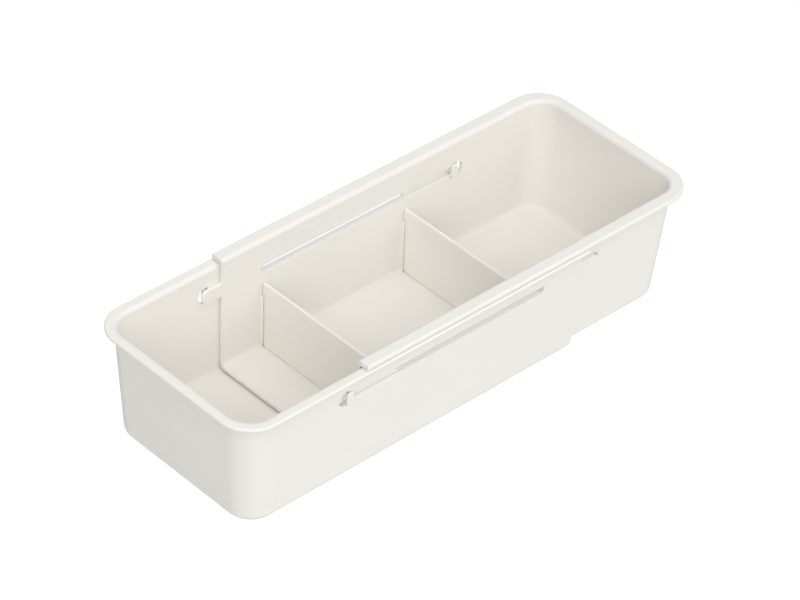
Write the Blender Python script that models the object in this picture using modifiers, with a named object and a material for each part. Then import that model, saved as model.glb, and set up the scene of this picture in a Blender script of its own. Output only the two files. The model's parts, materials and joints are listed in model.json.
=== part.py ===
"""Extending drawer organizer insert: two nested open-ended trays that slide on hooks, and two lift-out dividers.

Metres, +Z up. The long axis is X. The outer tray is closed at -X, the inner tray is closed at +X.
"""

import math

import bmesh
import bpy

MM = 0.001

# Whole object
RIM_LENGTH = 241.2 * MM  # rim end to rim end with the trays pushed together
RIM_HALF_WIDTH = 45.0 * MM
OPEN_END = 59.2 * MM  # distance of each tray's open edge from the middle
WALL = 1.4 * MM
FLOOR = 1.5 * MM
GAP = 0.3 * MM  # running clearance between the trays, and round the dividers

# Outer tray
OUTER_TOP = 52.6 * MM
LIP = 3.6 * MM  # the rim flange stands this far out from the wall
FLANGE = 1.7 * MM
RIM_RADIUS = 14.65 * MM
WALL_RADIUS = 11.0 * MM
SIDE_DRAFT = 2.1 * MM  # how far a long wall leans in over the outer tray's height
END_DRAFT = 4.5 * MM  # the same for an end wall
OUTSIDE_FILLET = 3.2 * MM
INSIDE_FILLET = 2.2 * MM
RIM_EDGE = 0.5 * MM  # rounding of the flange's free edge
RIM_ROLL = 1.8 * MM  # rounding from the flange's top down into the wall
OUTER_FOOT = 1.6 * MM  # rounding of the floor's open edge, seen from the side

# Inner tray
UNDER_GAP = 0.6 * MM  # clearance between the outer tray's floor and the inner tray
INNER_BOTTOM = FLOOR + UNDER_GAP
INNER_FLOOR = 1.8 * MM
INNER_TOP = 55.2 * MM
INNER_FLANGE = 2.3 * MM  # its rim reaches down to just above the outer tray's rim
INNER_RIM_STEP = 0.36 * MM  # its rim is this much narrower on each side
INNER_FOOT = 0.5 * MM  # rounding of its floor's open edge

# Slots and hooks, in the long walls of both trays
SLOT_Z = 41.0 * MM
SLOT_HALF_HEIGHT = 2.0 * MM
KEYHOLE_RADIUS = 3.5 * MM
KEYHOLE_X = 66.3 * MM  # from the middle, toward the closed end
SLOT_END_X = 38.9 * MM  # tip of the plain end, from the middle, toward the open end
TAB_HALF_HEIGHT = 3.0 * MM
TAB_LENGTH = 9.6 * MM  # how far the wall's tab runs past the open edge
TAB_TIP_RADIUS = 2.4 * MM
NECK_HALF_HEIGHT = SLOT_HALF_HEIGHT - GAP
NECK_HALF_LENGTH = 1.3 * MM
HEAD_HALF_HEIGHT = 3.1 * MM
HEAD_HALF_LENGTH = 1.6 * MM
HEAD_THICKNESS = 0.9 * MM
HEAD_CORNER = 1.0 * MM
HEAD_EDGE = 0.3 * MM
NECK_CORNER = 0.8 * MM
HEAD_X = 64.8 * MM  # middle of a hook's head, from the middle of the object

# Dividers and the guide ribs that hold them
DIVIDER_X = (-37.7 * MM, 38.2 * MM)
DIVIDER_THICKNESS = 1.5 * MM
DIVIDER_TOP = 34.7 * MM
DIVIDER_TOP_RADIUS = 1.0 * MM
DIVIDER_FOOT_RADIUS = 3.2 * MM
DIVIDER_EDGE = 0.3 * MM
RIB_WIDTH = 1.0 * MM
RIB_DEPTH = 1.3 * MM
RIB_TOP = 28.8 * MM

ARC_STEPS = 8  # facets in a quarter circle
SMALL_STEPS = 3  # facets in a small rounding
TIP_STEPS = 4  # facets in a tab's corner, in the outer rounding along the floor and in its open edge
FOOT_SWEEP = 0.9  # share of a quarter circle that the floor edge's rounding turns through
CUTTER_REACH = 20 * MM  # how far a cutter runs past what it cuts
OVERRUN = 40 * MM  # how far a tray is drawn past its open edge before it is cut off there
SHARP_ANGLE = math.radians(32)  # edges that turn more than this stay crisp
SQUARE_EDGE_ANGLE = math.radians(60)  # edges of a divider that turn more than this are eased

# Ivory plastic: linear colours and roughness
OUTER_COLOUR = (0.800, 0.775, 0.715)
INNER_COLOUR = (0.805, 0.780, 0.720)
DIVIDER_COLOUR = (0.800, 0.776, 0.716)
TRAY_ROUGHNESS = 0.42
DIVIDER_ROUGHNESS = 0.45

SIDE_SLOPE = SIDE_DRAFT / OUTER_TOP
END_SLOPE = END_DRAFT / OUTER_TOP


def outside_half_width(z):
    """Half width over the outer tray's long walls at height z."""
    return RIM_HALF_WIDTH - LIP - SIDE_SLOPE * (OUTER_TOP - z)


def collection(name):
    made = bpy.data.collections.new(name)
    bpy.context.scene.collection.children.link(made)
    return made


def plastic(name, colour, roughness):
    """A matte plastic: one Principled BSDF."""
    material = bpy.data.materials.new(name)
    material.use_nodes = True
    shader = material.node_tree.nodes["Principled BSDF"]
    shader.inputs["Base Color"].default_value = (*colour, 1)
    shader.inputs["Roughness"].default_value = roughness
    shader.inputs["Metallic"].default_value = 0
    return material


def rounded_rectangle(x_min, x_max, half_width, radius):
    """Corner-rounded rectangle about the X axis, anticlockwise seen from +Z, as (x, y) points."""
    points = []
    corners = (
        (x_max - radius, half_width - radius, 0),
        (x_min + radius, half_width - radius, 1),
        (x_min + radius, radius - half_width, 2),
        (x_max - radius, radius - half_width, 3),
    )
    for centre_x, centre_y, quarter in corners:
        for step in range(ARC_STEPS + 1):
            angle = (quarter + step / ARC_STEPS) * math.pi / 2
            points.append((centre_x + radius * math.cos(angle), centre_y + radius * math.sin(angle)))
    return points


def loft(name, rings, group):
    """Closed solid through rings of equal point count, capped at both ends, with its faces outward."""
    mesh = bpy.data.meshes.new(name)
    build = bmesh.new()
    loops = [[build.verts.new(point) for point in ring] for ring in rings]
    for below, above in zip(loops, loops[1:]):
        for i in range(len(below)):
            j = (i + 1) % len(below)
            build.faces.new((below[i], below[j], above[j], above[i]))
    build.faces.new(loops[0])
    build.faces.new(loops[-1])
    bmesh.ops.recalc_face_normals(build, faces=build.faces)
    build.to_mesh(mesh)
    build.free()
    made = bpy.data.objects.new(name, mesh)
    group.objects.link(made)
    return made


def prism(name, outline, start, end, group, axis="Y"):
    """Solid with a closed outline: (x, z) points carried along Y, or (y, z) points carried along X."""
    if axis == "Y":
        rings = [[(x, at, z) for x, z in outline] for at in (start, end)]
    else:
        rings = [[(at, y, z) for y, z in outline] for at in (start, end)]
    return loft(name, rings, group)


def join(name, pieces, group):
    """One object from several separate closed meshes."""
    build = bmesh.new()
    for piece in pieces:
        build.from_mesh(piece.data)
    mesh = bpy.data.meshes.new(name)
    build.to_mesh(mesh)
    build.free()
    for piece in pieces:
        old = piece.data
        bpy.data.objects.remove(piece)
        bpy.data.meshes.remove(old)
    made = bpy.data.objects.new(name, mesh)
    group.objects.link(made)
    return made


def combine(target, tool, operation):
    tool.hide_render = True
    tool.display_type = "WIRE"
    modifier = target.modifiers.new(tool.name, "BOOLEAN")
    modifier.operation = operation
    modifier.solver = "EXACT"
    modifier.object = tool


def tray_rings(closed_x, far_x, rim_half_width, half_width_at, bottom, floor, top, flange):
    """Rings from under the floor, up the outside, over the rim flange and down the inside to the floor.

    closed_x is the rim's closed end; far_x lies past the open edge, where the solid is cut off later.
    """
    toward = 1 if far_x > closed_x else -1

    def ring(end_inset, half_width, z, radius):
        end = closed_x + toward * end_inset
        outline = rounded_rectangle(min(end, far_x), max(end, far_x), half_width, radius)
        return [(x, y, z) for x, y in outline]

    def end_inset(z):
        return LIP + END_SLOPE * (top - z)

    rings = []
    for step in range(TIP_STEPS + 1):
        angle = step / TIP_STEPS * math.pi / 2
        inset = OUTSIDE_FILLET * (1 - math.sin(angle))
        z = bottom + OUTSIDE_FILLET * (1 - math.cos(angle))
        rings.append(ring(end_inset(z) + inset, half_width_at(z) - inset, z, WALL_RADIUS - inset))
    under = top - flange
    rings.append(ring(end_inset(under), half_width_at(under), under, WALL_RADIUS))
    for inset, z in (
        (RIM_EDGE, under),
        (0, under + RIM_EDGE),
        (0, top - RIM_EDGE),
        (0.3 * RIM_EDGE, top - 0.3 * RIM_EDGE),
        (RIM_EDGE, top),
    ):
        rings.append(ring(inset, rim_half_width - inset, z, RIM_RADIUS - inset))
    for step in range(SMALL_STEPS + 1):
        angle = step / SMALL_STEPS * math.pi / 2
        spread = RIM_ROLL * (1 - math.sin(angle))
        z = top - RIM_ROLL * (1 - math.cos(angle))
        rings.append(
            ring(
                end_inset(z) + WALL - spread,
                half_width_at(z) - WALL + spread,
                z,
                WALL_RADIUS - WALL + spread,
            )
        )
    for step in range(SMALL_STEPS + 1):
        angle = step / SMALL_STEPS * math.pi / 2
        inset = INSIDE_FILLET * (1 - math.cos(angle))
        z = bottom + floor + INSIDE_FILLET * (1 - math.sin(angle))
        rings.append(
            ring(
                end_inset(z) + WALL + inset,
                half_width_at(z) - WALL - inset,
                z,
                WALL_RADIUS - WALL - inset,
            )
        )
    return rings


def open_end_outline(side, foot_z, foot_radius):
    """Outline in X-Z of what is cut away past the open edge: all but the two walls' hook tabs."""
    edge = OPEN_END
    tip = OPEN_END + TAB_LENGTH
    far = OPEN_END + OVERRUN + CUTTER_REACH
    points = []
    for step in range(TIP_STEPS + 1):
        angle = -math.pi / 2 * FOOT_SWEEP * (1 - step / TIP_STEPS)
        points.append(
            (
                edge - foot_radius + foot_radius * math.cos(angle),
                foot_z + foot_radius + foot_radius * math.sin(angle),
            )
        )
    points.insert(0, (points[0][0], foot_z - CUTTER_REACH))
    points.append((edge, SLOT_Z - TAB_HALF_HEIGHT))
    for quarter in (-1, 0):
        for step in range(TIP_STEPS + 1):
            angle = (quarter + step / TIP_STEPS) * math.pi / 2
            level = SLOT_Z + (1 if quarter == 0 else -1) * (TAB_HALF_HEIGHT - TAB_TIP_RADIUS)
            points.append(
                (
                    tip - TAB_TIP_RADIUS + TAB_TIP_RADIUS * math.cos(angle),
                    level + TAB_TIP_RADIUS * math.sin(angle),
                )
            )
    points.append((edge, SLOT_Z + TAB_HALF_HEIGHT))
    points.append((edge, INNER_TOP + CUTTER_REACH))
    points.append((far, INNER_TOP + CUTTER_REACH))
    points.append((far, foot_z - CUTTER_REACH))
    return [(side * x, z) for x, z in points]


def slot_outline(side):
    """Long slot with a round keyhole at its closed-end side; side is +1 when the tray's open end is at +X."""
    half = SLOT_HALF_HEIGHT
    shoulder = math.sqrt(KEYHOLE_RADIUS**2 - half**2)
    points = []
    centre = SLOT_END_X - half
    for step in range(ARC_STEPS + 1):
        angle = (step / ARC_STEPS - 0.5) * math.pi
        points.append((centre + half * math.cos(angle), SLOT_Z + half * math.sin(angle)))
    first = math.atan2(half, shoulder)
    for step in range(2 * ARC_STEPS + 1):
        angle = first + step / (2 * ARC_STEPS) * (2 * math.pi - 2 * first)
        points.append(
            (
                -KEYHOLE_X + KEYHOLE_RADIUS * math.cos(angle),
                SLOT_Z + KEYHOLE_RADIUS * math.sin(angle),
            )
        )
    return [(side * x, z) for x, z in points]


def hook(name, centre_x, wall_side, start, neck_end, head_end, group):
    """Hook on a tab: a neck through the slot and a wider head, as rings in X-Z stacked along Y and leant with the wall.

    start, neck_end and head_end are half-width distances from the middle plane at the slot's height.
    """
    rings = []
    chamfer = math.copysign(HEAD_EDGE, head_end - start)
    levels = (
        (start, NECK_HALF_LENGTH, NECK_HALF_HEIGHT, NECK_CORNER),
        (neck_end, NECK_HALF_LENGTH, NECK_HALF_HEIGHT, NECK_CORNER),
        (neck_end, HEAD_HALF_LENGTH, HEAD_HALF_HEIGHT, HEAD_CORNER),
        (head_end - chamfer, HEAD_HALF_LENGTH, HEAD_HALF_HEIGHT, HEAD_CORNER),
        (head_end, HEAD_HALF_LENGTH - HEAD_EDGE, HEAD_HALF_HEIGHT - HEAD_EDGE, HEAD_CORNER - HEAD_EDGE),
    )
    for distance, half_length, half_height, radius in levels:
        outline = rounded_rectangle(-half_length, half_length, half_height, radius)
        rings.append(
            [(centre_x + x, wall_side * (distance + SIDE_SLOPE * z), SLOT_Z + z) for x, z in outline]
        )
    return loft(name, rings, group)


def rounded_plate(half_top, half_bottom, low, high, foot_radius, top_radius):
    """Outline in Y-Z of a divider: straight leaning ends, rounded feet and slightly rounded top corners."""
    right = []
    for step in range(ARC_STEPS + 1):
        angle = (step / ARC_STEPS - 1) * math.pi / 2
        right.append(
            (
                half_bottom - foot_radius * (1 - math.cos(angle)),
                low + foot_radius * (1 + math.sin(angle)),
            )
        )
    for step in range(SMALL_STEPS + 1):
        angle = step / SMALL_STEPS * math.pi / 2
        right.append(
            (
                half_top - top_radius * (1 - math.cos(angle)),
                high - top_radius * (1 - math.sin(angle)),
            )
        )
    return right + [(-y, z) for y, z in reversed(right)]


def set_origin(piece, x, y, z):
    """Moves the piece's origin to a world point and leaves its shape where it is."""
    for vertex in piece.data.vertices:
        vertex.co.x -= x
        vertex.co.y -= y
        vertex.co.z -= z
    piece.location = (x, y, z)


def build_outer(parts, tools):
    far = OPEN_END + OVERRUN
    tray = loft(
        "outer_tray",
        tray_rings(-RIM_LENGTH / 2, far, RIM_HALF_WIDTH, outside_half_width, 0, FLOOR, OUTER_TOP, FLANGE),
        parts,
    )
    reach = RIM_HALF_WIDTH + CUTTER_REACH
    combine(tray, prism("outer_end_cut", open_end_outline(1, 0, OUTER_FOOT), -reach, reach, tools), "DIFFERENCE")
    combine(tray, prism("outer_slot_cut", slot_outline(1), -reach, reach, tools), "DIFFERENCE")
    wall = outside_half_width(SLOT_Z)
    hooks = [
        hook(
            f"outer_hook_{side}",
            HEAD_X,
            side,
            wall - WALL / 2,
            wall - 2 * WALL - 2 * GAP,
            wall - 2 * WALL - 2 * GAP - HEAD_THICKNESS,
            tools,
        )
        for side in (-1, 1)
    ]
    combine(tray, join("outer_hooks", hooks, tools), "UNION")
    return tray


def build_inner(parts, tools):
    def half_width(z):
        return outside_half_width(z) - WALL - GAP

    far = -OPEN_END - OVERRUN
    tray = loft(
        "inner_tray",
        tray_rings(
            RIM_LENGTH / 2,
            far,
            RIM_HALF_WIDTH - INNER_RIM_STEP,
            half_width,
            INNER_BOTTOM,
            INNER_FLOOR,
            INNER_TOP,
            INNER_FLANGE,
        ),
        parts,
    )
    reach = RIM_HALF_WIDTH + CUTTER_REACH
    combine(
        tray,
        prism("inner_end_cut", open_end_outline(-1, INNER_BOTTOM, INNER_FOOT), -reach, reach, tools),
        "DIFFERENCE",
    )
    combine(tray, prism("inner_slot_cut", slot_outline(-1), -reach, reach, tools), "DIFFERENCE")
    wall = half_width(SLOT_Z)
    hooks = [
        hook(
            f"inner_hook_{side}",
            -HEAD_X,
            side,
            wall - WALL / 2,
            wall + WALL + 2 * GAP,
            wall + WALL + 2 * GAP + HEAD_THICKNESS,
            tools,
        )
        for side in (-1, 1)
    ]
    combine(tray, join("inner_hooks", hooks, tools), "UNION")
    foot = INNER_BOTTOM + INNER_FLOOR / 2
    ribs = []
    for centre in DIVIDER_X:
        for beside in (-1, 1):
            near = centre + beside * (DIVIDER_THICKNESS / 2 + GAP)
            start, end = sorted((near, near + beside * RIB_WIDTH))
            for side in (-1, 1):
                outline = []
                for inset, z in (
                    (WALL / 2, foot),
                    (WALL / 2, RIB_TOP),
                    (WALL, RIB_TOP),
                    (WALL + RIB_DEPTH, RIB_TOP - RIB_DEPTH),
                    (WALL + RIB_DEPTH, foot),
                ):
                    outline.append((side * (half_width(z) - inset), z))
                ribs.append(prism(f"rib_{len(ribs)}", outline, start, end, tools, "X"))
    combine(tray, join("divider_ribs", ribs, tools), "UNION")
    set_origin(tray, 0, 0, INNER_BOTTOM)
    return tray


def build_divider(name, centre_x, parts):
    low = INNER_BOTTOM + INNER_FLOOR + GAP

    def half_width(z):
        return outside_half_width(z) - 2 * WALL - 2 * GAP

    outline = rounded_plate(
        half_width(DIVIDER_TOP),
        half_width(low),
        low,
        DIVIDER_TOP,
        DIVIDER_FOOT_RADIUS,
        DIVIDER_TOP_RADIUS,
    )
    plate = prism(
        name,
        outline,
        centre_x - DIVIDER_THICKNESS / 2,
        centre_x + DIVIDER_THICKNESS / 2,
        parts,
        "X",
    )
    set_origin(plate, centre_x, 0, low)
    edge = plate.modifiers.new("edge", "BEVEL")
    edge.width = DIVIDER_EDGE
    edge.segments = 1
    edge.limit_method = "ANGLE"
    edge.angle_limit = SQUARE_EDGE_ANGLE
    return plate


def main():
    for old in list(bpy.data.objects):
        bpy.data.objects.remove(old)
    parts = collection("drawer_organizer_insert")
    tools = collection("cutters")
    outer = build_outer(parts, tools)
    inner = build_inner(parts, tools)
    left = build_divider("divider_left", DIVIDER_X[0], parts)
    right = build_divider("divider_right", DIVIDER_X[1], parts)
    tools.hide_render = True
    for piece, colour, roughness in (
        (outer, OUTER_COLOUR, TRAY_ROUGHNESS),
        (inner, INNER_COLOUR, TRAY_ROUGHNESS),
        (left, DIVIDER_COLOUR, DIVIDER_ROUGHNESS),
        (right, DIVIDER_COLOUR, DIVIDER_ROUGHNESS),
    ):
        piece.data.materials.append(plastic(piece.name + "_plastic", colour, roughness))
    bpy.context.view_layer.update()
    for piece, parent in ((inner, outer), (left, inner), (right, inner)):
        piece.parent = parent
        piece.matrix_parent_inverse = parent.matrix_world.inverted()
    for piece in (outer, inner):
        for face in piece.data.polygons:
            face.use_smooth = True
        piece.data.set_sharp_from_angle(angle=SHARP_ANGLE)


main()
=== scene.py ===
"""Looks of the extending drawer organizer insert: two nested moulded trays and two lift-out dividers.

Metres, +Z up. The long axis is X: the outer tray is closed at -X and the inner tray at +X.
"""

import json
import logging
import math
from dataclasses import dataclass
from enum import Enum

import bpy
import numpy as np
from mathutils import Matrix, Vector

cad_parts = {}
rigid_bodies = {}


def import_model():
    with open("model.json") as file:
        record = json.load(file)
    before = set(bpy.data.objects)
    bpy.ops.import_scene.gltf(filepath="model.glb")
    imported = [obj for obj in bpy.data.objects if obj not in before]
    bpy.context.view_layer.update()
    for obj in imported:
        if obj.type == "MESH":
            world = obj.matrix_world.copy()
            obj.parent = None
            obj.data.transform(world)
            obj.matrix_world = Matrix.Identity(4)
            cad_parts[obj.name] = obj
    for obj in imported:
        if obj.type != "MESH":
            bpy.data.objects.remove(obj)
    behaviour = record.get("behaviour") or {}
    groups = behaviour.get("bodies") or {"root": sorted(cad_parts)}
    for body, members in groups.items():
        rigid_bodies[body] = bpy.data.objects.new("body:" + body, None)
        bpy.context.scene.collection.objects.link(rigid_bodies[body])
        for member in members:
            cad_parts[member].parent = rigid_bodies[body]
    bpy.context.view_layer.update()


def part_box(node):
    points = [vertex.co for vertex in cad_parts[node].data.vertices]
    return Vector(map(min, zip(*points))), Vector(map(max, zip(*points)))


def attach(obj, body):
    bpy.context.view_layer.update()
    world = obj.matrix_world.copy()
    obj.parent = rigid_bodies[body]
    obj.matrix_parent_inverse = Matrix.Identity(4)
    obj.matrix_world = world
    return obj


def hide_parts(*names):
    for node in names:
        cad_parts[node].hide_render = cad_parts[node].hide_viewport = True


MM = 0.001
QUARTER = math.pi / 2
FLAT_FACE_WEIGHT = 80  # how strongly a large flat face sets the shading round it
LOG = logging.getLogger("drawer_insert")


class ClosedEnd(Enum):
    """Which end of a tray has a wall; the other end is open."""

    MINUS_X = -1
    PLUS_X = 1


# ---------------------------------------------------------------- meshes from arrays


def sweep(steps: int, start: float = 0.0, end: float = QUARTER) -> np.ndarray:
    """Evenly spaced angles, both ends included.

    Args:
        steps: number of facets.
        start: first angle.
        end: last angle.

    Returns:
        steps + 1 angles.
    """
    return np.linspace(start, end, steps + 1)


def rounded_loops(
    x_min: np.ndarray, x_max: np.ndarray, half_width: np.ndarray, radius: np.ndarray, facets: int
) -> np.ndarray:
    """Corner-rounded rectangles about the X axis, one for each entry of the arrays.

    A corner is centre + radius * (cos a, sin a), with a through one quarter; the four quarters follow
    each other anticlockwise seen from +Z.

    Args:
        x_min: lowest x of each loop.
        x_max: highest x of each loop.
        half_width: half width of each loop.
        radius: corner radius of each loop.
        facets: facets in a corner.

    Returns:
        An array of (loops, points, 2).
    """
    quarter = np.repeat(np.arange(4), facets + 1)
    angle = quarter * QUARTER + np.tile(sweep(facets), 4)
    right = np.isin(quarter, (0, 3))
    back = quarter < 2
    lo, hi, half, r = (np.asarray(value, float)[:, None] for value in (x_min, x_max, half_width, radius))
    x = np.where(right, hi - r, lo + r) + r * np.cos(angle)
    y = np.where(back, half - r, r - half) + r * np.sin(angle)
    return np.stack([x, y], axis=-1)


def shell_from_rings(name: str, rings: np.ndarray) -> bpy.types.Object:
    """Closed surface through rings of equal point count, with a flat face over the first and the last.

    Point (i, j) is joined to (i, j + 1), (i + 1, j + 1) and (i + 1, j), with j running round.

    Args:
        name: name of the object.
        rings: an array of (rings, points, 3).

    Returns:
        The new object, with its faces pointing out of the solid.
    """
    count, around = rings.shape[:2]
    index = np.arange(count * around).reshape(count, around)
    after = np.roll(index, -1, axis=1)
    quads = np.stack([index[:-1], after[:-1], after[1:], index[1:]], axis=-1).reshape(-1, 4)
    faces = quads.tolist() + [index[0, ::-1].tolist(), index[-1].tolist()]
    points = rings.reshape(-1, 3)
    if signed_volume(points, quads, index) < 0:
        faces = [face[::-1] for face in faces]
    mesh = bpy.data.meshes.new(name)
    mesh.from_pydata(points.tolist(), [], faces)
    mesh.update()
    piece = bpy.data.objects.new(name, mesh)
    bpy.context.scene.collection.objects.link(piece)
    return piece


def signed_volume(points: np.ndarray, quads: np.ndarray, index: np.ndarray) -> float:
    """Volume of a closed ring surface, negative when its faces point inwards.

    Each triangle adds a . (b x c) / 6; the two end faces are fans.

    Args:
        points: every corner.
        quads: the faces between the rings.
        index: the point numbers, ring by ring.

    Returns:
        The volume with its sign.
    """
    first, last = index[0, ::-1], index[-1]
    fans = [np.stack([np.full(len(f) - 2, f[0]), f[1:-1], f[2:]], axis=-1) for f in (first, last)]
    triangles = np.concatenate([quads[:, [0, 1, 2]], quads[:, [0, 2, 3]], *fans])
    a, b, c = (points[triangles[:, k]] for k in range(3))
    return float(np.einsum("ij,ij->i", a, np.cross(b, c)).sum() / 6)


def prism_along_y(name: str, outline: np.ndarray, reach: float) -> bpy.types.Object:
    """Solid with the closed outline of (x, z) points, carried from -reach to +reach along Y.

    Args:
        name: name of the object.
        outline: an array of (points, 2).
        reach: half the length.

    Returns:
        The new object.
    """
    ends = np.array([-reach, reach])
    flat = np.broadcast_to(outline, (2, *outline.shape))
    y = np.broadcast_to(ends[:, None], flat.shape[:2])
    return shell_from_rings(name, np.stack([flat[..., 0], y, flat[..., 1]], axis=-1))


def corner_array(mesh: bpy.types.Mesh) -> np.ndarray:
    """Every vertex of a mesh, as an array of (vertices, 3)."""
    corners = np.empty(len(mesh.vertices) * 3)
    mesh.vertices.foreach_get("co", corners)
    return corners.reshape(-1, 3)


def merged(name: str, pieces: list[bpy.types.Object]) -> bpy.types.Object:
    """One object from several separate closed surfaces, which are removed.

    Args:
        name: name of the new object.
        pieces: the surfaces.

    Returns:
        The new object.
    """
    points: list[np.ndarray] = []
    faces: list[list[int]] = []
    start = 0
    for piece in pieces:
        corners = corner_array(piece.data)
        points.append(corners)
        faces += [(start + np.array(face.vertices)).tolist() for face in piece.data.polygons]
        start += len(corners)
        discard(piece)
    mesh = bpy.data.meshes.new(name)
    mesh.from_pydata(np.concatenate(points).tolist(), [], faces)
    mesh.update()
    made = bpy.data.objects.new(name, mesh)
    bpy.context.scene.collection.objects.link(made)
    return made


def discard(piece: bpy.types.Object) -> None:
    """Removes an object and its mesh."""
    mesh = piece.data
    bpy.data.objects.remove(piece)
    bpy.data.meshes.remove(mesh)


def applied(piece: bpy.types.Object) -> bpy.types.Object:
    """Turns the piece's modifiers into its own mesh.

    Args:
        piece: the object.

    Returns:
        The same object, with no modifiers.
    """
    bpy.context.view_layer.update()
    result = bpy.data.meshes.new_from_object(piece.evaluated_get(bpy.context.evaluated_depsgraph_get()))
    old = piece.data
    piece.modifiers.clear()
    piece.data = result
    result.name = piece.name
    bpy.data.meshes.remove(old)
    return piece


def combined(target: bpy.types.Object, tool: bpy.types.Object, operation: str) -> bpy.types.Object:
    """Cuts or joins one solid with another, which is used up.

    Args:
        target: the solid that stays.
        tool: the other solid.
        operation: DIFFERENCE or UNION.

    Returns:
        The target.
    """
    modifier = target.modifiers.new(operation.lower(), "BOOLEAN")
    modifier.operation = operation
    modifier.solver = "EXACT"
    modifier.object = tool
    applied(target)
    discard(tool)
    return target


def finish_edges(
    piece: bpy.types.Object, box: tuple[Vector, Vector], width: float, crisp: float
) -> bpy.types.Object:
    """Eases the crisp edges, smooths the rest and lets flat faces keep flat shading.

    Args:
        piece: the solid.
        box: the corners that it stays inside.
        width: width of the eased edge.
        crisp: edges that turn more than this angle are eased.

    Returns:
        The same object.
    """
    easing = piece.modifiers.new("eased_edges", "BEVEL")
    easing.width = width
    easing.segments = 2
    easing.limit_method = "ANGLE"
    easing.angle_limit = crisp
    easing.use_clamp_overlap = False
    low, high = box
    applied(piece)
    inside = np.clip(corner_array(piece.data), np.array(low), np.array(high))
    piece.data.vertices.foreach_set("co", inside.ravel())
    return shaded(piece, crisp)


def shaded(piece: bpy.types.Object, crisp: float) -> bpy.types.Object:
    """Smooth shading that stays flat on flat faces and breaks at crisp edges.

    Args:
        piece: the object.
        crisp: edges that turn more than this angle are sharp.

    Returns:
        The same object.
    """
    piece.data.polygons.foreach_set("use_smooth", np.ones(len(piece.data.polygons), bool))
    piece.data.set_sharp_from_angle(angle=crisp)
    shading = piece.modifiers.new("flat_faces_stay_flat", "WEIGHTED_NORMAL")
    shading.keep_sharp = True
    shading.weight = FLAT_FACE_WEIGHT
    return piece


# ---------------------------------------------------------------- shader groups and finishes


class NodeGroup:
    """A shader node group under construction."""

    def __init__(self, name: str, inputs: dict[str, float], outputs: dict[str, str]) -> None:
        """Makes the group with its named sockets.

        Args:
            name: name of the group.
            inputs: float sockets and their defaults.
            outputs: output sockets and their socket types.
        """
        self.tree = bpy.data.node_groups.new(name, "ShaderNodeTree")
        for label, value in inputs.items():
            socket = self.tree.interface.new_socket(label, in_out="INPUT", socket_type="NodeSocketFloat")
            socket.default_value = value
        for label, kind in outputs.items():
            self.tree.interface.new_socket(label, in_out="OUTPUT", socket_type=kind)
        self.given = self.tree.nodes.new("NodeGroupInput")
        self.result = self.tree.nodes.new("NodeGroupOutput")

    def node(self, kind: str, **settings: object) -> bpy.types.Node:
        """Adds a node.

        Args:
            kind: the node's type.
            settings: its properties.

        Returns:
            The node.
        """
        return add_node(self.tree, kind, **settings)

    def link(self, source: bpy.types.NodeSocket, target: bpy.types.NodeSocket) -> None:
        """Joins two sockets."""
        self.tree.links.new(source, target)


def add_node(tree: bpy.types.NodeTree, kind: str, **settings: object) -> bpy.types.Node:
    """Adds a node to a tree and sets its properties.

    Args:
        tree: the node tree.
        kind: the node's type.
        settings: its properties.

    Returns:
        The node.
    """
    made = tree.nodes.new(kind)
    for key, value in settings.items():
        setattr(made, key, value)
    return made


def skin_group() -> bpy.types.NodeTree:
    """Height of a moulded skin: fine spark-eroded grain on top of slow sink marks.

    Height = Grain * noise(position * Grain Scale) + Ripple * noise(position * Ripple Scale).

    Returns:
        The node group.
    """
    group = NodeGroup(
        "moulded_skin",
        {"Grain Scale": 2600.0, "Grain": 0.5, "Ripple Scale": 38.0, "Ripple": 1.0},
        {"Height": "NodeSocketFloat"},
    )
    place = group.node("ShaderNodeTexCoord")
    grain = group.node("ShaderNodeTexNoise", noise_dimensions="3D")
    grain.inputs["Detail"].default_value = 3
    ripple = group.node("ShaderNodeTexNoise", noise_dimensions="3D")
    ripple.inputs["Detail"].default_value = 1
    for noise, scale in ((grain, "Grain Scale"), (ripple, "Ripple Scale")):
        group.link(place.outputs["Object"], noise.inputs["Vector"])
        group.link(group.given.outputs[scale], noise.inputs["Scale"])
    parts = []
    for noise, amount in ((grain, "Grain"), (ripple, "Ripple")):
        share = group.node("ShaderNodeMath", operation="MULTIPLY")
        group.link(noise.outputs["Fac"], share.inputs[0])
        group.link(group.given.outputs[amount], share.inputs[1])
        parts.append(share)
    total = group.node("ShaderNodeMath", operation="ADD")
    for slot, part in enumerate(parts):
        group.link(part.outputs[0], total.inputs[slot])
    group.link(total.outputs[0], group.result.inputs["Height"])
    return group.tree


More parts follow.
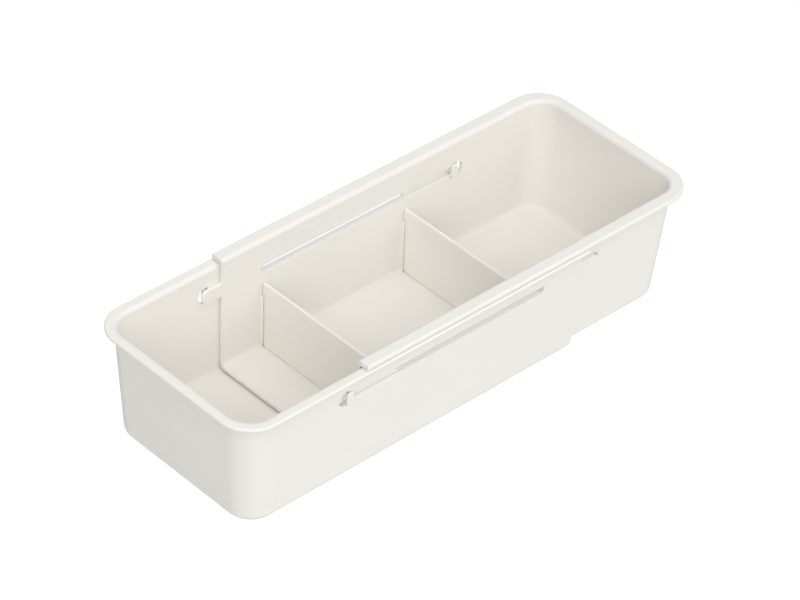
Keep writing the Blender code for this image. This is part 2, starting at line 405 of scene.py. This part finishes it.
def edge_group() -> bpy.types.NodeTree:
    """Mask of the edges, which lightens their colour as a painted highlight and makes them glossier as rubbed
    wear: where the normal rounded over Width turns away from the true one.

    Mask = clamp(Gain * (1 - rounded normal . true normal)), broken up by noise.

    Returns:
        The node group.
    """
    group = NodeGroup("highlit_rubbed_edges", {"Width": 0.0006, "Gain": 7.0}, {"Mask": "NodeSocketFloat"})
    rounded = group.node("ShaderNodeBevel", samples=4)
    group.link(group.given.outputs["Width"], rounded.inputs["Radius"])
    true = group.node("ShaderNodeNewGeometry")
    dot = group.node("ShaderNodeVectorMath", operation="DOT_PRODUCT")
    group.link(rounded.outputs["Normal"], dot.inputs[0])
    group.link(true.outputs["Normal"], dot.inputs[1])
    turned = group.node("ShaderNodeMath", operation="SUBTRACT")
    turned.inputs[0].default_value = 1
    group.link(dot.outputs["Value"], turned.inputs[1])
    gained = group.node("ShaderNodeMath", operation="MULTIPLY")
    group.link(turned.outputs[0], gained.inputs[0])
    group.link(group.given.outputs["Gain"], gained.inputs[1])
    place = group.node("ShaderNodeTexCoord")
    patches = group.node("ShaderNodeTexNoise", noise_dimensions="3D")
    patches.inputs["Scale"].default_value = 160
    patches.inputs["Detail"].default_value = 2
    group.link(place.outputs["Object"], patches.inputs["Vector"])
    broken = group.node("ShaderNodeMath", operation="MULTIPLY", use_clamp=True)
    group.link(gained.outputs[0], broken.inputs[0])
    group.link(patches.outputs["Fac"], broken.inputs[1])
    group.link(broken.outputs[0], group.result.inputs["Mask"])
    return group.tree


def mottle_group() -> bpy.types.NodeTree:
    """Two masks of slow variation: clouds in the colour, and streaks left by sliding along X.

    Clouds = noise(position * Cloud Scale); Streaks = noise of the position drawn out along X.

    Returns:
        The node group.
    """
    group = NodeGroup(
        "mottle",
        {"Cloud Scale": 26.0, "Streak Scale": 900.0},
        {"Clouds": "NodeSocketFloat", "Streaks": "NodeSocketFloat"},
    )
    place = group.node("ShaderNodeTexCoord")
    clouds = group.node("ShaderNodeTexNoise", noise_dimensions="3D")
    clouds.inputs["Detail"].default_value = 4
    group.link(place.outputs["Object"], clouds.inputs["Vector"])
    group.link(group.given.outputs["Cloud Scale"], clouds.inputs["Scale"])
    drawn = group.node("ShaderNodeMapping")
    drawn.inputs["Scale"].default_value = (0.03, 1, 1)
    group.link(place.outputs["Object"], drawn.inputs["Vector"])
    streaks = group.node("ShaderNodeTexNoise", noise_dimensions="3D")
    streaks.inputs["Detail"].default_value = 2
    group.link(drawn.outputs["Vector"], streaks.inputs["Vector"])
    group.link(group.given.outputs["Streak Scale"], streaks.inputs["Scale"])
    sparse = group.node("ShaderNodeMapRange", clamp=True)
    sparse.inputs["From Min"].default_value = 0.58
    sparse.inputs["From Max"].default_value = 0.75
    group.link(streaks.outputs["Fac"], sparse.inputs["Value"])
    group.link(clouds.outputs["Fac"], group.result.inputs["Clouds"])
    group.link(sparse.outputs["Result"], group.result.inputs["Streaks"])
    return group.tree


@dataclass(frozen=True)
class PlasticFinish:
    """Matte moulded polypropylene, slightly milky at its thin edges, with a painted highlight in a lighter
    colour along its edges.
    """

    name: str
    colour: tuple[float, float, float]
    shade: tuple[float, float, float]
    # edge: a lighter colour along the edges, a painted highlight
    edge: tuple[float, float, float]
    roughness: float
    grain_scale: float = 2600.0
    bump: float = 0.18
    bump_depth: float = 0.00006
    ior: float = 1.49
    specular: float = 0.3
    milkiness: float = 0.12
    milk_radius: tuple[float, float, float] = (1.0, 0.86, 0.66)
    milk_depth: float = 0.0016
    roughness_spread: float = 0.05
    rubbed_roughness: float = -0.08
    streak_roughness: float = -0.04

    def material(self, groups: dict[str, bpy.types.NodeTree]) -> bpy.types.Material:
        """Builds the material.

        Args:
            groups: the shared shader groups, by name.

        Returns:
            The material.
        """
        made = bpy.data.materials.new(self.name)
        made.use_nodes = True
        tree = made.node_tree
        shader = tree.nodes["Principled BSDF"]
        shader.inputs["Metallic"].default_value = 0
        shader.inputs["IOR"].default_value = self.ior
        shader.inputs["Specular IOR Level"].default_value = self.specular
        shader.inputs["Subsurface Weight"].default_value = self.milkiness
        shader.inputs["Subsurface Radius"].default_value = self.milk_radius
        shader.inputs["Subsurface Scale"].default_value = self.milk_depth

        mottle = self._group(tree, groups["mottle"])
        # one edge mask: a painted highlight in the colour, rubbed wear in the roughness
        edges = self._group(tree, groups["highlit_rubbed_edges"])
        skin = self._group(tree, groups["moulded_skin"])
        skin.inputs["Grain Scale"].default_value = self.grain_scale

        body = add_node(tree, "ShaderNodeMix", data_type="RGBA")
        body.inputs["A"].default_value = (*self.colour, 1)
        body.inputs["B"].default_value = (*self.shade, 1)
        tree.links.new(mottle.outputs["Clouds"], body.inputs["Factor"])
        # painted highlight: the colour turns to the lighter edge colour along the edges
        painted_edge_highlight = add_node(tree, "ShaderNodeMix", data_type="RGBA")
        painted_edge_highlight.inputs["B"].default_value = (*self.edge, 1)
        tree.links.new(edges.outputs["Mask"], painted_edge_highlight.inputs["Factor"])
        tree.links.new(body.outputs["Result"], painted_edge_highlight.inputs["A"])
        tree.links.new(painted_edge_highlight.outputs["Result"], shader.inputs["Base Color"])

        gloss = add_node(tree, "ShaderNodeMapRange")
        gloss.inputs["To Min"].default_value = self.roughness - self.roughness_spread
        gloss.inputs["To Max"].default_value = self.roughness + self.roughness_spread
        tree.links.new(mottle.outputs["Clouds"], gloss.inputs["Value"])
        rubbed = add_node(tree, "ShaderNodeMath", operation="MULTIPLY")
        rubbed.inputs[1].default_value = self.rubbed_roughness
        tree.links.new(edges.outputs["Mask"], rubbed.inputs[0])
        scuffed = add_node(tree, "ShaderNodeMath", operation="MULTIPLY_ADD")
        scuffed.inputs[1].default_value = self.streak_roughness
        tree.links.new(mottle.outputs["Streaks"], scuffed.inputs[0])
        tree.links.new(rubbed.outputs[0], scuffed.inputs[2])
        rough = add_node(tree, "ShaderNodeMath", operation="ADD")
        tree.links.new(gloss.outputs["Result"], rough.inputs[0])
        tree.links.new(scuffed.outputs[0], rough.inputs[1])
        tree.links.new(rough.outputs[0], shader.inputs["Roughness"])

        bump = add_node(tree, "ShaderNodeBump")
        bump.inputs["Strength"].default_value = self.bump
        bump.inputs["Distance"].default_value = self.bump_depth
        tree.links.new(skin.outputs["Height"], bump.inputs["Height"])
        tree.links.new(bump.outputs["Normal"], shader.inputs["Normal"])
        return made

    @staticmethod
    def _group(tree: bpy.types.NodeTree, group: bpy.types.NodeTree) -> bpy.types.Node:
        """Places a shared group in a material's tree."""
        return add_node(tree, "ShaderNodeGroup", node_tree=group)


# ---------------------------------------------------------------- the trays


@dataclass(frozen=True)
class MouldSizes:
    """Sizes that both trays share."""

    open_end: float = 59.2 * MM
    outer_wall: float = 1.4 * MM
    gap: float = 0.3 * MM
    lip: float = 3.6 * MM
    rim_radius: float = 14.65 * MM
    wall_radius: float = 11.0 * MM
    rim_edge: float = 0.7 * MM
    rim_roll: float = 1.8 * MM
    under_rim: float = 0.5 * MM
    outside_fillet: float = 3.2 * MM
    inside_fillet: float = 2.2 * MM
    rim_half_width: float = 45.0 * MM
    outer_top: float = 52.6 * MM
    side_slope: float = 2.1 / 52.6
    end_slope: float = 4.5 / 52.6
    reach: float = 70.0 * MM
    cutter_reach: float = 20.0 * MM
    far_end: float = 98.0 * MM
    foot_sweep: float = 0.9 * QUARTER
    corner_facets: int = 20
    small_facets: int = 8
    edge_width: float = 0.18 * MM
    crisp: float = math.radians(38)

    def outer_half_width(self, z: np.ndarray | float) -> np.ndarray | float:
        """Half width over the outer tray's long walls: rim half width - lip - slope * depth below its rim."""
        return self.rim_half_width - self.lip - self.side_slope * (self.outer_top - z)


@dataclass(frozen=True)
class HookSizes:
    """The slots, the tabs past the open edges and the hooks on them."""

    z: float = 41.0 * MM
    slot_half: float = 1.8 * MM
    slot_end: float = 38.9 * MM
    keyhole_x: float = 66.3 * MM
    keyhole_radius: float = 3.5 * MM
    tab_half: float = 3.0 * MM
    tab_length: float = 9.6 * MM
    tab_tip: float = 2.4 * MM
    head_x: float = 64.8 * MM
    neck_length: float = 1.3 * MM
    neck_height: float = 1.7 * MM
    neck_corner: float = 0.8 * MM
    head_length: float = 1.6 * MM
    head_height: float = 3.1 * MM
    head_corner: float = 1.0 * MM
    head_thickness: float = 0.9 * MM
    head_edge: float = 0.35 * MM


@dataclass
class Tray:
    """One open-ended tray with its rim flange, slots, tabs and hooks."""

    piece_name: str
    body: str
    closed: ClosedEnd
    bottom: float
    top: float
    floor: float
    flange: float
    wall: float
    rim_step: float
    wall_step: float
    foot: float
    hooks_outward: bool
    mould: MouldSizes
    hook: HookSizes

    def half_width(self, z: np.ndarray | float) -> np.ndarray | float:
        """Half width over this tray's long walls: the outer tray's less the step between the walls."""
        return self.mould.outer_half_width(z) - self.wall_step

    def rings(self) -> np.ndarray:
        """Rings from under the floor, up the outside, round the flange and down the inside.

        Each part of the profile gives the distance of its loops from the rim's closed end, the half
        width, the height and the corner radius. A loop offset outwards from the wall by o is the wall's
        loop with o less end distance, o more half width and o more radius.

        Returns:
            An array of (rings, points, 3).
        """
        m = self.mould
        rim_half = m.rim_half_width - self.rim_step
        under = self.top - self.flange

        def on_wall(out: np.ndarray, z: np.ndarray) -> np.ndarray:
            """Loops offset outwards from the outside of the wall."""
            out, z = np.broadcast_arrays(np.asarray(out, float), np.asarray(z, float))
            end = m.lip + m.end_slope * (self.top - z) - out
            return np.stack([end, self.half_width(z) + out, z, m.wall_radius + out], axis=-1)

        def on_rim(inset: np.ndarray, z: np.ndarray) -> np.ndarray:
            """Loops inset from the flange's free edge."""
            return np.stack([inset, rim_half - inset, z, m.rim_radius - inset], axis=-1)

        turn = sweep(m.small_facets)
        low, high = np.sin(turn), np.cos(turn)
        fillet, inner = m.outside_fillet, m.inside_fillet
        edge = m.rim_edge
        profile = np.concatenate([
            on_wall(-fillet * (1 - low), self.bottom + fillet * (1 - high)),
            on_wall(m.under_rim * (1 - high), under - m.under_rim * (1 - low)),
            on_rim(edge * (1 - low), under + edge * (1 - high)),
            on_rim(edge * (1 - high), self.top - edge * (1 - low)),
            on_wall(m.rim_roll * (1 - low) - self.wall, self.top - m.rim_roll * (1 - high)),
            on_wall(-self.wall - inner * (1 - high), self.bottom + self.floor + inner * (1 - low)),
        ])
        end, half, z, radius = profile.T
        rim_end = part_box(self.body)[0 if self.closed is ClosedEnd.MINUS_X else 1].x
        side = self.closed.value
        near = rim_end - side * end
        far = np.full_like(near, -side * m.far_end)
        loops = rounded_loops(np.minimum(near, far), np.maximum(near, far), half, radius, m.corner_facets)
        heights = np.broadcast_to(z[:, None, None], (*loops.shape[:2], 1))
        return np.concatenate([loops, heights], axis=-1)

    def open_end_outline(self) -> np.ndarray:
        """Outline in X-Z of what is cut away past the open edge: all but the tabs.

        Returns:
            An array of (points, 2).
        """
        m, h = self.mould, self.hook
        edge, tip, far = m.open_end, m.open_end + h.tab_length, m.open_end + m.reach
        foot = sweep(m.small_facets, -m.foot_sweep, 0)
        foot_arc = np.stack([
            edge - self.foot * (1 - np.cos(foot)), self.bottom + self.foot * (1 + np.sin(foot))
        ], axis=-1)
        turn = sweep(m.small_facets)
        corner = np.stack([tip - h.tab_tip * (1 - np.cos(turn)),
                           h.tab_half - h.tab_tip * (1 - np.sin(turn))], axis=-1)
        lower = corner[::-1] * (1, -1) + (0, h.z)
        upper = corner + (0, h.z)
        over = self.top + m.reach
        below = self.bottom - m.reach
        points = np.concatenate([
            [(foot_arc[0, 0], below)], foot_arc, [(edge, h.z - h.tab_half)], lower, upper,
            [(edge, h.z + h.tab_half), (edge, over), (far, over), (far, below)],
        ])
        return points * (-self.closed.value, 1)

    def slot_outline(self) -> np.ndarray:
        """Outline in X-Z of the long slot, round at its plain end and with a round keyhole at the other.

        Returns:
            An array of (points, 2).
        """
        h, facets = self.hook, 2 * self.mould.small_facets
        plain = sweep(facets, -QUARTER, QUARTER)
        plain_end = np.stack([
            h.slot_end - h.slot_half * (1 - np.cos(plain)), h.slot_half * np.sin(plain)
        ], axis=-1)
        first = math.asin(h.slot_half / h.keyhole_radius)
        turn = sweep(2 * facets, first, 2 * math.pi - first)
        keyhole = h.keyhole_radius * np.stack([np.cos(turn), np.sin(turn)], -1) - (h.keyhole_x, 0)
        return (np.concatenate([plain_end, keyhole]) + (0, h.z)) * (-self.closed.value, 1)

    def hooks(self) -> bpy.types.Object:
        """The two hooks: a neck through the other tray's slot and a wider head, leant with the wall.

        Returns:
            Both hooks as one object.
        """
        m, h = self.mould, self.hook
        outward = 1 if self.hooks_outward else -1
        wall = self.half_width(h.z)
        start = wall - self.wall / 2
        if self.hooks_outward:
            neck_end = wall + self.wall_step + m.gap
        else:
            neck_end = wall - 2 * (m.outer_wall + m.gap)
        turn = sweep(m.small_facets // 2)
        round_off = h.head_edge * (1 - np.cos(turn))
        rise = h.head_edge * (1 - np.sin(turn))
        head_end = neck_end + outward * h.head_thickness
        steps = np.concatenate([
            [(start, h.neck_length, h.neck_height, h.neck_corner),
             (neck_end, h.neck_length, h.neck_height, h.neck_corner),
             (neck_end, h.head_length, h.head_height, h.head_corner)],
            np.stack([head_end - outward * rise, h.head_length - round_off,
                      h.head_height - round_off, h.head_corner - round_off], axis=-1),
        ])
        away, length, height, corner = steps.T
        loops = rounded_loops(-length, length, height, corner, m.small_facets)
        made = []
        for side in (-1, 1):
            x = -self.closed.value * h.head_x + loops[..., 0]
            y = side * (away[:, None] + m.side_slope * loops[..., 1])
            made.append(shell_from_rings("hook", np.stack([x, y, h.z + loops[..., 1]], axis=-1)))
        return merged("hooks", made)

    def shape(self) -> bpy.types.Object:
        """Builds the whole tray.

        Returns:
            The tray as one closed solid.
        """
        tray = shell_from_rings(self.piece_name, self.rings())
        across = self.mould.rim_half_width + self.mould.cutter_reach
        combined(tray, prism_along_y("open_end", self.open_end_outline(), across), "DIFFERENCE")
        combined(tray, prism_along_y("slot", self.slot_outline(), across), "DIFFERENCE")
        combined(tray, self.hooks(), "UNION")
        return tray

    def build(self, finish: bpy.types.Material) -> bpy.types.Object:
        """Builds, dresses and mounts the tray.

        Args:
            finish: its material.

        Returns:
            The finished piece.
        """
        m = self.mould
        shaped = finish_edges(self.shape(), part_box(self.body), m.edge_width, m.crisp)
        return mounted(shaped, self.body, finish)


@dataclass
class RibbedTray(Tray):
    """The inner tray, with pairs of guide ribs that hold the dividers."""

    divider_x: tuple[float, float] = (-37.7 * MM, 38.2 * MM)
    divider_thickness: float = 1.5 * MM
    rib_gap: float = 0.12 * MM
    rib_width: float = 1.1 * MM
    rib_depth: float = 1.3 * MM
    rib_nose: float = 0.35 * MM
    rib_top: float = 28.8 * MM

    def rib(self, start: float, side: int) -> bpy.types.Object:
        """One guide rib: a round-nosed strip up the wall whose top runs back into the wall.

        Args:
            start: its lowest x.
            side: +1 or -1, the long wall it stands on.

        Returns:
            The rib, sunk half way into the wall and the floor.
        """
        m = self.mould
        nose = self.rib_nose
        turn = sweep(m.small_facets // 2)
        x = np.concatenate([
            [0], nose * (1 - np.cos(turn)), self.rib_width - nose * (1 - np.cos(turn[::-1])), [self.rib_width]
        ])
        rounded = self.rib_depth - nose * (1 - np.sin(turn))
        depth = np.concatenate([[0], rounded, rounded[::-1], [0]])
        ease = sweep(m.small_facets)
        z = np.concatenate([
            [self.bottom + self.floor / 2], self.rib_top - self.rib_depth * (1 - np.sin(ease))
        ])
        share = np.concatenate([[1.0], np.cos(ease)])
        inner = self.half_width(z) - self.wall
        back = np.full_like(depth, -self.wall / 2)
        outline = np.where(depth[None, :] > 0, depth[None, :] * share[:, None], back[None, :])
        outline = np.maximum(outline, back[None, :])
        y = side * (inner[:, None] - outline)
        ring_x = np.broadcast_to(start + x, y.shape)
        ring_z = np.broadcast_to(z[:, None], y.shape)
        return shell_from_rings("rib", np.stack([ring_x, y, ring_z], axis=-1))

    def shape(self) -> bpy.types.Object:
        """Builds the tray and adds its guide ribs.

        Returns:
            The tray as one closed solid.
        """
        tray = super().shape()
        clear = self.divider_thickness / 2 + self.rib_gap
        ribs = []
        for centre in self.divider_x:
            for start in (centre - clear - self.rib_width, centre + clear):
                ribs += [self.rib(start, side) for side in (-1, 1)]
        return combined(tray, merged("ribs", ribs), "UNION")


def mounted(piece: bpy.types.Object, body: str, finish: bpy.types.Material) -> bpy.types.Object:
    """Gives a piece its material and sets it on its body in place of the plain solid of the same name.

    Args:
        piece: the finished shape.
        body: the body it moves with.
        finish: its material.

    Returns:
        The same piece.
    """
    piece.data.materials.clear()
    piece.data.materials.append(finish)
    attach(piece, body)
    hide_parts(body)
    return piece


@dataclass
class Divider:
    """A lift-out plate with rounded feet, leaning ends and rounded-over edges."""

    piece_name: str
    body: str
    tray: RibbedTray
    top_radius: float = 1.0 * MM
    foot_radius: float = 3.2 * MM
    edge: float = 0.4 * MM
    side_gap: float = 0.12 * MM
    foot_drop: float = 0.2 * MM

    def shape(self) -> bpy.types.Object:
        """Builds the plate as its outline in Y-Z, inset over a quarter round at both faces.

        A loop at thickness t from the face is the outline moved inwards along its normal by
        edge * (1 - cos a), where t = edge * (1 - sin a).

        Returns:
            The plate as one closed solid.
        """
        low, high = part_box(self.body)
        m = self.tray.mould
        under = low.z - self.foot_drop
        inset_from_wall = self.tray.wall + self.side_gap
        top_half, foot_half = (self.tray.half_width(z) - inset_from_wall for z in (high.z, under))
        foot = sweep(m.small_facets, -QUARTER, 0)
        top = sweep(m.small_facets)
        y = np.concatenate([
            foot_half - self.foot_radius * (1 - np.cos(foot)), top_half - self.top_radius * (1 - np.cos(top))
        ])
        z = np.concatenate([
            under + self.foot_radius * (1 + np.sin(foot)), high.z - self.top_radius * (1 - np.sin(top))
        ])
        outline = np.concatenate([np.stack([y, z], -1), np.stack([-y, z], -1)[::-1]])
        along = np.roll(outline, -1, axis=0) - np.roll(outline, 1, axis=0)
        normal = np.stack([along[:, 1], -along[:, 0]], axis=-1)
        normal /= np.linalg.norm(normal, axis=1)[:, None]
        turn = sweep(m.small_facets // 2)
        inset = self.edge * (1 - np.sin(turn))
        depth = self.edge * (1 - np.cos(turn))
        x = np.concatenate([low.x + depth, (high.x - depth)[::-1]])
        moved = np.concatenate([inset, inset[::-1]])
        loops = outline[None] - moved[:, None, None] * normal[None]
        ring_x = np.broadcast_to(x[:, None, None], (*loops.shape[:2], 1))
        return shell_from_rings(self.piece_name, np.concatenate([ring_x, loops], axis=-1))

    def build(self, finish: bpy.types.Material) -> bpy.types.Object:
        """Builds, dresses and mounts the divider.

        Args:
            finish: its material.

        Returns:
            The finished piece.
        """
        return mounted(shaded(self.shape(), self.tray.mould.crisp), self.body, finish)


# ---------------------------------------------------------------- the studio


@dataclass(frozen=True)
class Softbox:
    """A large square light aimed at the object."""

    name: str
    place: tuple[float, float, float]
    size: float
    power: float

    def light(self) -> None:
        """Adds the light."""
        data = bpy.data.lights.new(self.name, "AREA")
        data.shape = "SQUARE"
        data.size = self.size
        data.energy = self.power
        lamp = bpy.data.objects.new(self.name, data)
        lamp.location = self.place
        lamp.rotation_euler = (-Vector(self.place)).to_track_quat("-Z", "Y").to_euler()
        bpy.context.scene.collection.objects.link(lamp)


@dataclass(frozen=True)
class SkyGlow:
    """One broad glow of the room: brightness * max(0, direction . toward)."""

    toward: tuple[float, float, float]
    brightness: float


@dataclass
class Studio:
    """White floor, soft light from all round and the camera."""

    focal_length: float = 179.0
    azimuth: float = math.radians(-45.667)
    elevation: float = math.radians(38.395)
    roll: float = math.radians(4.044)
    distance: float = 1.5767
    shift_right: float = 0.0020956
    shift_up: float = 0.0233608
    floor_half: float = 12.0
    floor_drop: float = 0.2 * MM
    sky: tuple[SkyGlow, ...] = (
        SkyGlow((0, 0, 1), 0.37), SkyGlow((0, -1, 0), 0.45), SkyGlow((0, 1, 0), 0.15)
    )
    floor_colour: float = 0.3
    floor_glow: float = 0.43
    floor_white: float = 0.45
    floor_roughness: float = 0.9
    floor_specular: float = 0.1
    softboxes: tuple[Softbox, ...] = (
        Softbox("front_softbox", (-1.35, -1.35, 1.5), 2.0, 16.6),
        Softbox("key_softbox", (0.24, -1.87, 1.49), 2.0, 8.3),
        Softbox("right_softbox", (1.5, -1.5, 1.1), 2.0, 11.0),
        Softbox("left_softbox", (-1.80, -0.72, 1.44), 2.0, 11.9),
        Softbox("overhead_softbox", (0.0, -0.3, 2.4), 2.0, 8.0),
        Softbox("back_softbox", (0.4, 1.8, 1.6), 2.0, 11.0),
    )

    def camera(self) -> None:
        """Adds the camera: on a sphere about the origin, rolled about its own line of sight."""
        az, el = self.azimuth, self.elevation
        back = Vector((math.sin(az) * math.cos(el), -math.cos(az) * math.cos(el), math.sin(el)))
        level = Vector((math.cos(az), math.sin(az), 0))
        upright = back.cross(level)
        right = math.cos(self.roll) * level + math.sin(self.roll) * upright
        up = -math.sin(self.roll) * level + math.cos(self.roll) * upright
        data = bpy.data.cameras.new("camera")
        data.lens = self.focal_length
        data.sensor_width = 36
        data.clip_end = 100
        camera = bpy.data.objects.new("camera", data)
        turn = Matrix((right, up, back)).transposed().to_4x4()
        place = back * self.distance + right * self.shift_right + up * self.shift_up
        camera.matrix_world = Matrix.Translation(place) @ turn
        bpy.context.scene.collection.objects.link(camera)
        bpy.context.scene.camera = camera

    def floor(self) -> None:
        """Adds the floor: a square sheet just under the object.

        It glows with floor_glow for the object and with floor_white more for the camera, so that it
        stays white behind the object without overexposing the walls.
        """
        side = self.floor_half
        corners = [(-side, -side), (side, -side), (side, side), (-side, side)]
        mesh = bpy.data.meshes.new("floor")
        mesh.from_pydata([(x, y, -self.floor_drop) for x, y in corners], [], [(0, 1, 2, 3)])
        floor = bpy.data.objects.new("floor", mesh)
        material = bpy.data.materials.new("white_paper")
        material.use_nodes = True
        shader = material.node_tree.nodes["Principled BSDF"]
        shader.inputs["Base Color"].default_value = (self.floor_colour,) * 3 + (1,)
        shader.inputs["Emission Color"].default_value = (1, 1, 1, 1)
        ray = add_node(material.node_tree, "ShaderNodeLightPath")
        glow = add_node(material.node_tree, "ShaderNodeMath", operation="MULTIPLY_ADD")
        glow.inputs[1].default_value = self.floor_white
        glow.inputs[2].default_value = self.floor_glow
        material.node_tree.links.new(ray.outputs["Is Camera Ray"], glow.inputs[0])
        material.node_tree.links.new(glow.outputs[0], shader.inputs["Emission Strength"])
        shader.inputs["Roughness"].default_value = self.floor_roughness
        shader.inputs["Specular IOR Level"].default_value = self.floor_specular
        mesh.materials.append(material)
        bpy.context.scene.collection.objects.link(floor)

    def sky_light(self) -> None:
        """Sets the soft light from all round: the sum of the room's glows."""
        world = bpy.data.worlds.new("white_room")
        world.use_nodes = True
        tree = world.node_tree
        background = tree.nodes["Background"]
        background.inputs["Color"].default_value = (1, 1, 1, 1)
        direction = add_node(tree, "ShaderNodeTexCoord")
        total = None
        for glow in self.sky:
            facing = add_node(tree, "ShaderNodeVectorMath", operation="DOT_PRODUCT")
            facing.inputs[1].default_value = glow.toward
            tree.links.new(direction.outputs["Generated"], facing.inputs[0])
            ahead = add_node(tree, "ShaderNodeMath", operation="MAXIMUM")
            ahead.inputs[1].default_value = 0
            tree.links.new(facing.outputs["Value"], ahead.inputs[0])
            summed = add_node(tree, "ShaderNodeMath", operation="MULTIPLY_ADD")
            summed.inputs[1].default_value = glow.brightness
            summed.inputs[2].default_value = 0
            tree.links.new(ahead.outputs[0], summed.inputs[0])
            if total:
                tree.links.new(total.outputs[0], summed.inputs[2])
            total = summed
        tree.links.new(total.outputs[0], background.inputs["Strength"])
        bpy.context.scene.world = world

    def build(self) -> None:
        """Sets up the whole studio."""
        bpy.context.scene.view_settings.view_transform = "Standard"
        self.camera()
        self.floor()
        self.sky_light()
        for softbox in self.softboxes:
            softbox.light()


def main() -> None:
    """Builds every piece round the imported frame, then the studio."""
    logging.basicConfig(level=logging.INFO, format="%(name)s: %(message)s")
    for old in list(bpy.data.objects):
        bpy.data.objects.remove(old)
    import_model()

    groups = {tree.name: tree for tree in (skin_group(), edge_group(), mottle_group())}
    # colours of each finish: body, random cloud tone, and the lighter edge colour of the painted highlight
    outer_finish = PlasticFinish(
        "ivory_outer", (0.878, 0.858, 0.814), (0.868, 0.846, 0.800), (0.890, 0.872, 0.832), 0.55
    ).material(groups)
    inner_finish = PlasticFinish(
        "ivory_inner", (0.880, 0.860, 0.816), (0.870, 0.848, 0.802), (0.892, 0.874, 0.834), 0.55
    ).material(groups)
    divider_finish = PlasticFinish(
        "ivory_divider", (0.878, 0.859, 0.815), (0.866, 0.844, 0.798), (0.890, 0.872, 0.833), 0.58, 2200.0
    ).material(groups)

    mould, hook = MouldSizes(), HookSizes()
    outer_low, outer_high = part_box("outer_tray")
    inner_low, inner_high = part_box("inner_tray")
    outer = Tray(
        piece_name="outer_tray_shell", body="outer_tray", closed=ClosedEnd.MINUS_X,
        bottom=outer_low.z, top=outer_high.z, floor=1.5 * MM, flange=1.7 * MM, wall=mould.outer_wall,
        rim_step=0.0, wall_step=0.0, foot=1.6 * MM, hooks_outward=False, mould=mould, hook=hook,
    )
    inner = RibbedTray(
        piece_name="inner_tray_shell", body="inner_tray", closed=ClosedEnd.PLUS_X,
        bottom=inner_low.z, top=inner_high.z, floor=1.8 * MM, flange=2.3 * MM, wall=1.58 * MM,
        rim_step=0.36 * MM, wall_step=1.52 * MM, foot=0.5 * MM, hooks_outward=True, mould=mould, hook=hook,
    )
    pieces = [
        outer.build(outer_finish),
        inner.build(inner_finish),
        Divider("divider_left_plate", "divider_left", inner).build(divider_finish),
        Divider("divider_right_plate", "divider_right", inner).build(divider_finish),
    ]

    Studio().build()


if __name__ == "__main__":
    main()
